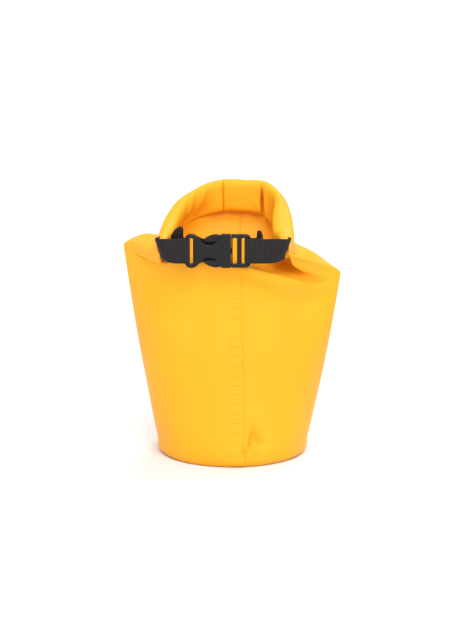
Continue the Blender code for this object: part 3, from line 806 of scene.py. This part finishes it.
def settle(part, t):
    """Where the rows come to rest as cloth that is held at its first and last rows."""
    rows, columns = part.shape[:2]
    obj = add("cloth", grid_mesh("cloth", part, closed=True))
    obj.shape_key_add(name="Basis")
    rest = obj.shape_key_add(name="flat")
    rest.data.foreach_set("co", flat_pattern(part, t).reshape(-1).astype(np.float32))
    rest.value = 0.0
    pins = obj.vertex_groups.new(name="pins")
    share = np.arange(rows)[:, None] / (rows - 1)
    hold = 1 - smooth(share, 0.02, 0.12) + smooth(share, 0.9, 0.99)
    hold = np.repeat(hold, columns, axis=1)
    for index, weight in enumerate(np.clip(hold, 0, 1).ravel()):
        pins.add([index], float(weight), "REPLACE")
    cloth = obj.modifiers.new("Cloth", "CLOTH")
    for key, value in CLOTH_SETTINGS.items():
        setattr(cloth.settings, key, value)
    cloth.settings.rest_shape_key = rest
    cloth.settings.effector_weights.gravity = CLOTH_GRAVITY
    cloth.collision_settings.use_collision = False
    scene = bpy.context.scene
    scene.frame_start = 1
    scene.frame_end = CLOTH_FRAMES
    for number in range(1, CLOTH_FRAMES + 1):
        scene.frame_set(number)
    solid = obj.evaluated_get(bpy.context.evaluated_depsgraph_get())
    places = np.empty(rows * columns * 3, np.float32)
    solid.data.vertices.foreach_get("co", places)
    bpy.data.objects.remove(obj)
    scene.frame_set(1)
    return places.reshape(part.shape).astype(float)


def relax(points, first, last):
    """Rows first to last as cloth, a little longer than their course, held at both ends."""
    step = COLUMNS // CLOTH_COLUMNS
    part = points[first : last + 1 : CLOTH_ROW_STEP, ::step]
    change = settle(part, columns_around()[1][::step]) - part
    for _ in range(CLOTH_SMOOTHING):
        change = (2 * change + np.roll(change, 1, axis=1) + np.roll(change, -1, axis=1)) / 4
        change[1:-1] = (2 * change[1:-1] + change[:-2] + change[2:]) / 4
    reach = np.linalg.norm(change, axis=2, keepdims=True)
    change *= np.minimum(1, CLOTH_REACH / np.maximum(reach, 1e-9))
    relaxed = points.copy()
    relaxed[first : last + 1] += spread(change, last + 1 - first, COLUMNS)
    return relaxed


# ------------------------ pieces


def blend_to_collar(obj):
    """Bakes the piece's placement into its mesh."""
    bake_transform(obj)


def build_base(finish):
    """The round base: a floor that is a little slack, and a flange that stands inside the tube."""
    outer = TUBE_RADIUS - BASE_INSET
    centre = outer - CORNER_RADIUS
    profile = [(centre * i / BASE_RINGS, 0.0) for i in range(BASE_RINGS)]
    for degrees in range(0, 91, 10):
        turn = math.radians(degrees)
        rise = CORNER_RADIUS * (1 - math.cos(turn))
        profile.append((centre + CORNER_RADIUS * math.sin(turn), rise))
    profile += [(outer, height * MM) for height in BASE_FLANGE]
    angle = np.arange(BASE_COLUMNS) / BASE_COLUMNS * 2 * math.pi
    rings = []
    for radius, height in profile:
        slack = BASE_SLACK * math.sin(math.pi * min(radius / centre, 1.0)) ** 2
        lift = slack * (1 + np.sin(3 * angle + radius * 60) * np.cos(2 * angle))
        r = max(radius, 0.05 * MM)
        rings.append(np.column_stack([r * np.cos(angle), r * np.sin(angle), height + lift]))
    obj = add("base_panel", grid_mesh("base_panel", np.array(rings), closed=True), finish)
    thicken(obj, BASE_THICKNESS, -1.0)
    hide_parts("base_disc")
    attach(obj, "bag")


def build_seam(points, neck_end, finish):
    """The welded lap up the front and into the hoop, with its step edge and its pressed ladder."""
    rows = points[SEAM_FIRST_ROW:neck_end, : COLUMNS // 2 + 1]
    across = np.gradient(rows, axis=1)
    up = np.gradient(rows, axis=0)
    normal = np.cross(across, up)
    normal /= np.linalg.norm(normal, axis=2, keepdims=True)
    along = lengths_along(rows[:, COLUMNS // 4])
    want = np.arange(0.0, along[-1], SEAM_STEP)
    share = np.linspace(0, 1, SEAM_COLUMNS)
    strip = []
    for row, out in zip(rows, normal):
        lean = 1 - smooth(row[COLUMNS // 4, 2], 20 * MM, 190 * MM)
        x = SEAM_FROM + (SEAM_TO + SEAM_LEAN * lean - SEAM_FROM) * share
        strip.append(sample(np.hstack([row, out]), row[:, 0], x))
    strip = np.array(strip)
    fine = np.stack([sample(strip[:, c], along, want) for c in range(SEAM_COLUMNS)], axis=1)
    height = fine[:, SEAM_COLUMNS // 2, 2]
    front = want < want[np.argmax(height > LADDER_TO + 5 * MM)]
    ticks = np.linspace(LADDER_FROM, LADDER_TO, LADDER_TICKS)
    pressed = sum(bump(height, z, LADDER_WIDTH) for z in ticks) * front
    inside = smooth(share, 0.1, 0.2) * (1 - smooth(share, 0.72, 0.82))
    lift = SEAM_LIFT * smooth(share, 0.0, 0.3) + SEAM_LIP * smooth(share, 0.84, 1.0)
    # The lap lies flatter behind the buckle, which leaves room for the prongs
    behind_prongs = smooth(height, 188 * MM, 200 * MM) * smooth(-fine[:, 0, 1], 42 * MM, 46 * MM)
    lift = lift[None, :] * (1 - 0.75 * behind_prongs[:, None])
    lift = lift - LADDER_DEPTH * pressed[:, None] * inside
    outside = fine[:, :, :3] + fine[:, :, 3:] * lift[:, :, None]
    obj = add("front_seam", grid_mesh("front_seam", outside), finish)
    thicken(obj, SEAM_THICKNESS, -1.0)
    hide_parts("seam_lap")
    blend_to_collar(obj)


def build_roll_strip(node, n, width, thickness, finish, slot):
    """A flat strip in the roll's core, which follows the roll's folds."""
    path, outward = hoop_path(220)
    keep = path[:, 1] > ROLL_FRONT_Y + 4 * MM
    path, outward = path[keep], outward[keep]
    rows = []
    for share in np.linspace(-0.5, 0.5, 9):
        inset, up = crumple(np.full(len(path), n), np.full(len(path), share * width),
                            path[:, 0], path[:, 1])
        place = path + outward * inset[:, None]
        place[:, 2] += up
        rows.append(place)
    obj = add(node + "_strip", grid_mesh(node + "_strip", np.array(rows)), finish)
    thicken(obj, thickness, 0.0)
    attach(obj, "collar")
    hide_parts(node)


def build_fabric(finish):
    points, neck_end = fabric_rows()
    points = relax(points, CORNER_ROWS + 1, neck_end - 1)
    mesh = grid_mesh("bag_fabric", points, closed=True, uv=fabric_uv(points))
    obj = add("bag_fabric", mesh, finish)
    thicken(obj, PLY, -1.0)
    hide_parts("bag_tube", "mouth_roll")
    blend_to_collar(obj)
    return points, neck_end


def tab_path(course, side, slot_x, ring_x):
    """A tab's points, and its width's direction at each: out of the roll and round both bars."""
    course = even_points(np.array(course) * MM, 400)
    lead = course[np.abs(course[:, 0]) > abs(slot_x + side * HAIRPIN_RADIUS)]
    lean = np.column_stack([side * lead[:, 3], -lead[:, 4], np.full(len(lead), WEBBING_WIDTH / 2)])
    turn_x = slot_x + side * HAIRPIN_RADIUS
    bend = []
    straight = LEG_OFFSET - HAIRPIN_RADIUS
    for centre, first, last in ((-straight, -90, 0), (straight, 0, 90)):
        for degrees in np.linspace(first, last, 12):
            angle = math.radians(degrees)
            bend.append((turn_x - side * HAIRPIN_RADIUS * math.cos(angle),
                         STRAP_Y + centre + HAIRPIN_RADIUS * math.sin(angle), STRAP_HEIGHT))
    hold = RING_WIRE + BAR_GAP * MM + WEBBING / 2
    for degrees in np.linspace(-90, 150, 30):
        angle = math.radians(degrees)
        bend.append((ring_x + side * hold * math.cos(angle), RING_Y + hold * math.sin(angle),
                     STRAP_HEIGHT))
    upright = np.tile([0, 0, WEBBING_WIDTH / 2], (len(bend), 1))
    return np.vstack([lead[:, :3], bend]), np.vstack([lean, upright])


def build_tab(name, course, side, slot_x, ring_x, finish):
    """Woven webbing with its ribs and its two rolled edges, closed all round."""
    points, half = tab_path(course, side, slot_x, ring_x)
    along = lengths_along(points)
    count = int(along[-1] / (RIB_PITCH / 4))
    want = np.linspace(0, along[-1], count)
    points = sample(points, along, want)
    half = sample(half, along, want)
    half *= (WEBBING_WIDTH / 2 / np.linalg.norm(half, axis=1))[:, None]
    course_way = np.gradient(points, axis=0)
    normal = np.cross(course_way, half)
    normal /= np.linalg.norm(normal, axis=1)[:, None]
    across = np.linspace(-1, 1, TAB_COLUMNS)
    rib = 0.5 + 0.5 * np.cos(2 * math.pi * want / RIB_PITCH)
    rows = []
    uv = []
    for face in (1, -1):
        for a in across * face:
            edge = smooth(abs(a), 0.9, 1.0)
            cord = CORD_DEPTH * math.cos(a * math.pi * CORDS)
            depth = WEBBING / 2 * (1 - SELVEDGE_THIN * edge) - RIB_DEPTH * (rib * (1 - edge) + cord)
            wide = half * a * (1 - RIB_SHRINK * rib)[:, None]
            rows.append(points + wide + normal * (face * depth)[:, None])
            uv.append(np.column_stack([want, np.full(count, a * WEBBING_WIDTH / 2)]))
    uv.append(uv[0])
    grid = np.array(rows).transpose(1, 0, 2)
    mesh = grid_mesh(name + "_webbing", grid, closed=True, uv=np.array(uv).transpose(1, 0, 2))
    made = bmesh.new()
    made.from_mesh(mesh)
    loose = [edge for edge in made.edges if edge.is_boundary]
    bmesh.ops.holes_fill(made, edges=loose)
    bmesh.ops.recalc_face_normals(made, faces=made.faces)
    made.to_mesh(mesh)
    made.free()
    obj = add(name + "_webbing", mesh, finish)
    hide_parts(name)
    return obj


def smooth_outline(points, steps=6):
    """The closed outline with its corners run through by a smooth curve."""
    points = np.array(points, float)
    count = len(points)
    padded = np.vstack([points[-1:], points, points[:2]])
    made = []
    for i in range(count):
        made += [spline(*padded[i : i + 4], k / steps) for k in range(steps)]
    return np.array(made)


def mirrored(upper):
    """The whole outline from its upper half."""
    upper = np.array(upper, float)
    return np.vstack([upper, upper[::-1] * [1, -1]])


def rounded_slot(low, high, half_height, corner):
    """A slot with round corners, as an outline."""
    left, right, top = low + corner, high - corner, half_height - corner
    made = []
    for x, z, first in ((right, top, 0), (left, top, 90), (left, -top, 180), (right, -top, 270)):
        for degrees in range(first, first + 91, 18):
            angle = math.radians(degrees)
            made.append((x + corner * math.cos(angle), z + corner * math.sin(angle)))
    return np.array(made)


def moulded(name, outlines, thickness, edge, segments=4):
    """A moulded plate: filled outlines, in metres, with every edge rounded. It lies in x and z."""
    curve = bpy.data.curves.new(name, "CURVE")
    curve.dimensions = "2D"
    curve.fill_mode = "BOTH"
    curve.extrude = thickness / 2 - edge
    curve.bevel_depth = edge
    curve.bevel_resolution = segments
    curve.offset = -edge
    for outline in outlines:
        loop = curve.splines.new("POLY")
        loop.points.add(len(outline) - 1)
        for point, (x, z) in zip(loop.points, outline):
            point.co = (x, z, 0.0, 1.0)
        loop.use_cyclic_u = True
    flat = add(name, curve)
    bpy.context.view_layer.update()
    solid = flat.evaluated_get(bpy.context.evaluated_depsgraph_get())
    mesh = bpy.data.meshes.new_from_object(solid)
    mesh.transform(Matrix.Rotation(math.pi / 2, 4, "X"))
    bpy.data.objects.remove(flat)
    made = bmesh.new()
    made.from_mesh(mesh)
    bmesh.ops.remove_doubles(made, verts=made.verts, dist=0.005 * MM)
    bmesh.ops.recalc_face_normals(made, faces=made.faces)
    made.to_mesh(mesh)
    made.free()
    return mesh


def domed(mesh, half_width, half_length, centre, drop_width, drop_length):
    """Thins a plate towards its sides and ends, so that its faces are slightly domed."""
    made = bmesh.new()
    made.from_mesh(mesh)
    cuts = [((0, 0, half_width * k / 7.5), (0, 0, 1)) for k in range(-7, 8)]
    cuts += [((centre + half_length * k / 5.5, 0, 0), (1, 0, 0)) for k in range(-5, 6)]
    for place, facing in cuts:
        everything = list(made.verts) + list(made.edges) + list(made.faces)
        bmesh.ops.bisect_plane(made, geom=everything, dist=1e-6, plane_co=place, plane_no=facing)
    for vertex in made.verts:
        across = (vertex.co.z / half_width) ** 2
        along = ((vertex.co.x - centre) / half_length) ** 2
        vertex.co.y *= 1 - drop_width * across - drop_length * along
    made.to_mesh(mesh)
    made.free()


def block(name, centre, size):
    """A box to cut with or to join. Centre and size are in mm."""
    mesh = bpy.data.meshes.new(name)
    made = bmesh.new()
    bmesh.ops.create_cube(made, size=1.0)
    bmesh.ops.scale(made, vec=[value * MM for value in size], verts=made.verts)
    bmesh.ops.translate(made, vec=[value * MM for value in centre], verts=made.verts)
    made.to_mesh(mesh)
    made.free()
    return add(name, mesh)


def bar_trims(x, length):
    """The blocks that thin a plate's end bar from the front and from behind."""
    away = END_BAR_THICKNESS / 2 + 10
    return [block("trim", (x, side * away, 0), (length, 20, SLOT_HEIGHT)) for side in (-1, 1)]


def cut(obj, tools, operation="DIFFERENCE"):
    """Cuts the tools out of the object, or joins them to it, and removes them."""
    for tool in tools:
        boolean = obj.modifiers.new("Cut", "BOOLEAN")
        boolean.operation = operation
        boolean.object = tool
        boolean.solver = "EXACT"
    apply_modifiers(obj)
    for tool in tools:
        bpy.data.objects.remove(tool)


def finish_plastic(obj, body, slot, *nodes):
    """Rounds the edges that the cuts left, and puts a buckle's piece in its place on its body."""
    obj.data.shade_smooth()
    bevel = obj.modifiers.new("Edges", "BEVEL")
    bevel.width = EDGE_BEVEL
    bevel.segments = 2
    bevel.limit_method = "ANGLE"
    bevel.angle_limit = SHARP
    bevel.harden_normals = True
    apply_modifiers(obj)
    obj.location = (PARTING_X, STRAP_Y, STRAP_HEIGHT)
    bpy.context.view_layer.update()
    obj.data.transform(obj.matrix_world)
    obj.location = (0, 0, 0)
    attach(obj, body)
    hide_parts(*nodes)


def build_socket(finish):
    outline = smooth_outline(mirrored(SOCKET_OUTLINE)) * MM
    slot = rounded_slot(*SOCKET_SLOT, SLOT_HEIGHT / 2, 1.2) * MM
    mesh = moulded("buckle_socket_body", [outline, slot], SOCKET_THICKNESS, edge=1.5 * MM)
    domed(mesh, 17 * MM, 23 * MM, centre=-23 * MM, drop_width=0.16, drop_length=0.10)
    obj = add("buckle_socket_body", mesh, finish)
    back = smooth_outline(mirrored(SOCKET_BACK)) * MM
    plate = add("back_plate", moulded("back_plate", [back], BACK_THICKNESS, 0.5 * MM, 2))
    plate.location = (0, BACK_Y, 0)
    bpy.context.view_layer.update()
    cut(obj, [plate], "UNION")
    cut(obj, [block("hollow", *SOCKET_HOLLOW)] + bar_trims(*SOCKET_TRIM))
    finish_plastic(obj, "socket", "black_plastic", "buckle_socket")


def build_frame(finish):
    outline = smooth_outline(mirrored(FRAME_OUTLINE)) * MM
    holes = [rounded_slot(low, high, SLOT_HEIGHT / 2, 1.0) * MM for low, high in FRAME_SLOTS]
    mesh = moulded("buckle_plug_frame", [outline] + holes, FRAME_THICKNESS, edge=1.3 * MM)
    obj = add("buckle_plug_frame", mesh, finish)
    cut(obj, [block("tongue", *TONGUE)], "UNION")
    cut(obj, bar_trims(*FRAME_TRIM))
    finish_plastic(obj, "plug", "black_plastic", "buckle_frame")


def build_prong(name, body, side, finish):
    outline = smooth_outline(np.array(PRONG_OUTLINE) * [1, side], 4) * MM
    mesh = moulded(name + "_spring", [outline], PRONG_THICKNESS, edge=1.1 * MM)
    obj = add(name + "_spring", mesh, finish)
    finish_plastic(obj, body, "black_plastic", name)


def build_ring(name, body, finish):
    """A moulded D-ring with thick corners, turned the way that it hangs."""
    x, swing, height, size = RING_PLACES[name]
    outlines = [smooth_outline(mirrored(upper)) * size * MM for upper in (RING_OUTER, RING_INNER)]
    mesh = moulded(name + "_loop", outlines, 2 * RING_WIRE, edge=1.9 * MM)
    turn = Matrix.Translation((x, RING_Y, height)) @ Matrix.Rotation(math.radians(swing), 4, "Z")
    mesh.transform(turn)
    mesh.shade_smooth()
    obj = add(name + "_loop", mesh, finish)
    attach(obj, body)
    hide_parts(name)


# ------------------------ stage


def build_floor():
    bpy.ops.mesh.primitive_plane_add(size=12.0, location=(0, 2.0, 0))
    floor = bpy.context.object
    floor.name = "floor"
    paper = {"Base Color": FLOOR_GREY, "Roughness": 0.9, "Specular IOR Level": 0.1}
    floor.data.materials.append(Nodes("paper").shade(paper))


def build_sky():
    """White at the horizon and dimmer overhead."""
    world = bpy.data.worlds.new("studio")
    world.use_nodes = True
    sky = world.node_tree
    up = sky.nodes.new("ShaderNodeSeparateXYZ")
    sky.links.new(sky.nodes.new("ShaderNodeTexCoord").outputs["Generated"], up.inputs[0])
    fade = sky.nodes.new("ShaderNodeMapRange")
    for name, value in zip(("From Min", "From Max", "To Min", "To Max"), SKY_HEIGHTS + SKY_STRENGTHS):
        fade.inputs[name].default_value = value
    sky.links.new(up.outputs["Z"], fade.inputs["Value"])
    sky.links.new(fade.outputs["Result"], sky.nodes["Background"].inputs["Strength"])
    sky.nodes["Background"].inputs["Color"].default_value = (1, 1, 1, 1)
    bpy.context.scene.world = world


def build_stage():
    build_floor()
    build_sky()
    for name, strength, width, way in SUNS:
        sun = bpy.data.lights.new(name, "SUN")
        sun.energy = strength
        sun.angle = math.radians(width)
        add(name, sun).rotation_euler = Vector(way).to_track_quat("-Z", "Y").to_euler()
    camera = bpy.data.cameras.new("camera")
    camera.lens = CAMERA_LENS
    eye = add("camera", camera)
    eye.location = CAMERA_PLACE
    eye.rotation_euler = (CAMERA_TILT, 0, 0)
    bpy.context.scene.camera = eye
    bpy.context.scene.view_settings.view_transform = "Standard"


# ------------------------ the whole


yellow = fabric_material("coated_fabric")
base_yellow = fabric_material("coated_base_fabric", 0.46)
seam_yellow = fabric_material("welded_fabric", 0.38)
black_plastic = plastic_material("black_plastic")
ring_plastic = plastic_material("ring_plastic", RING_BLACK, 0.46)
white_plastic = plastic_material("stiffener_plastic", PLASTIC_WHITE, 0.5)
webbing = webbing_material("black_webbing")
fabric_points, neck_end = build_fabric(yellow)
build_base(base_yellow)
build_seam(fabric_points, neck_end, seam_yellow)
build_roll_strip("mouth_webbing", *MOUTH_WEBBING, webbing, "black_webbing")
build_roll_strip("mouth_stiffener", *STIFFENER, white_plastic, "stiffener_plastic")
build_socket(black_plastic)
build_frame(black_plastic)
build_prong("upper_prong", "prong_up", 1, black_plastic)
build_prong("lower_prong", "prong_down", -1, black_plastic)
build_ring("left_ring", "d_left", ring_plastic)
build_ring("right_ring", "d_right", ring_plastic)
socket_x = PARTING_X + (SOCKET_SLOT[0] + BAR_GAP) * MM + WEBBING / 2
frame_x = PARTING_X + (FRAME_SLOTS[1][1] - BAR_GAP) * MM - WEBBING / 2
left = build_tab("left_tab", LEFT_TAB, -1, socket_x, RING_PLACES["left_ring"][0], webbing)
right = build_tab("right_tab", RIGHT_TAB, 1, frame_x, RING_PLACES["right_ring"][0], webbing)
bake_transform(left)
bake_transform(right)
build_stage()
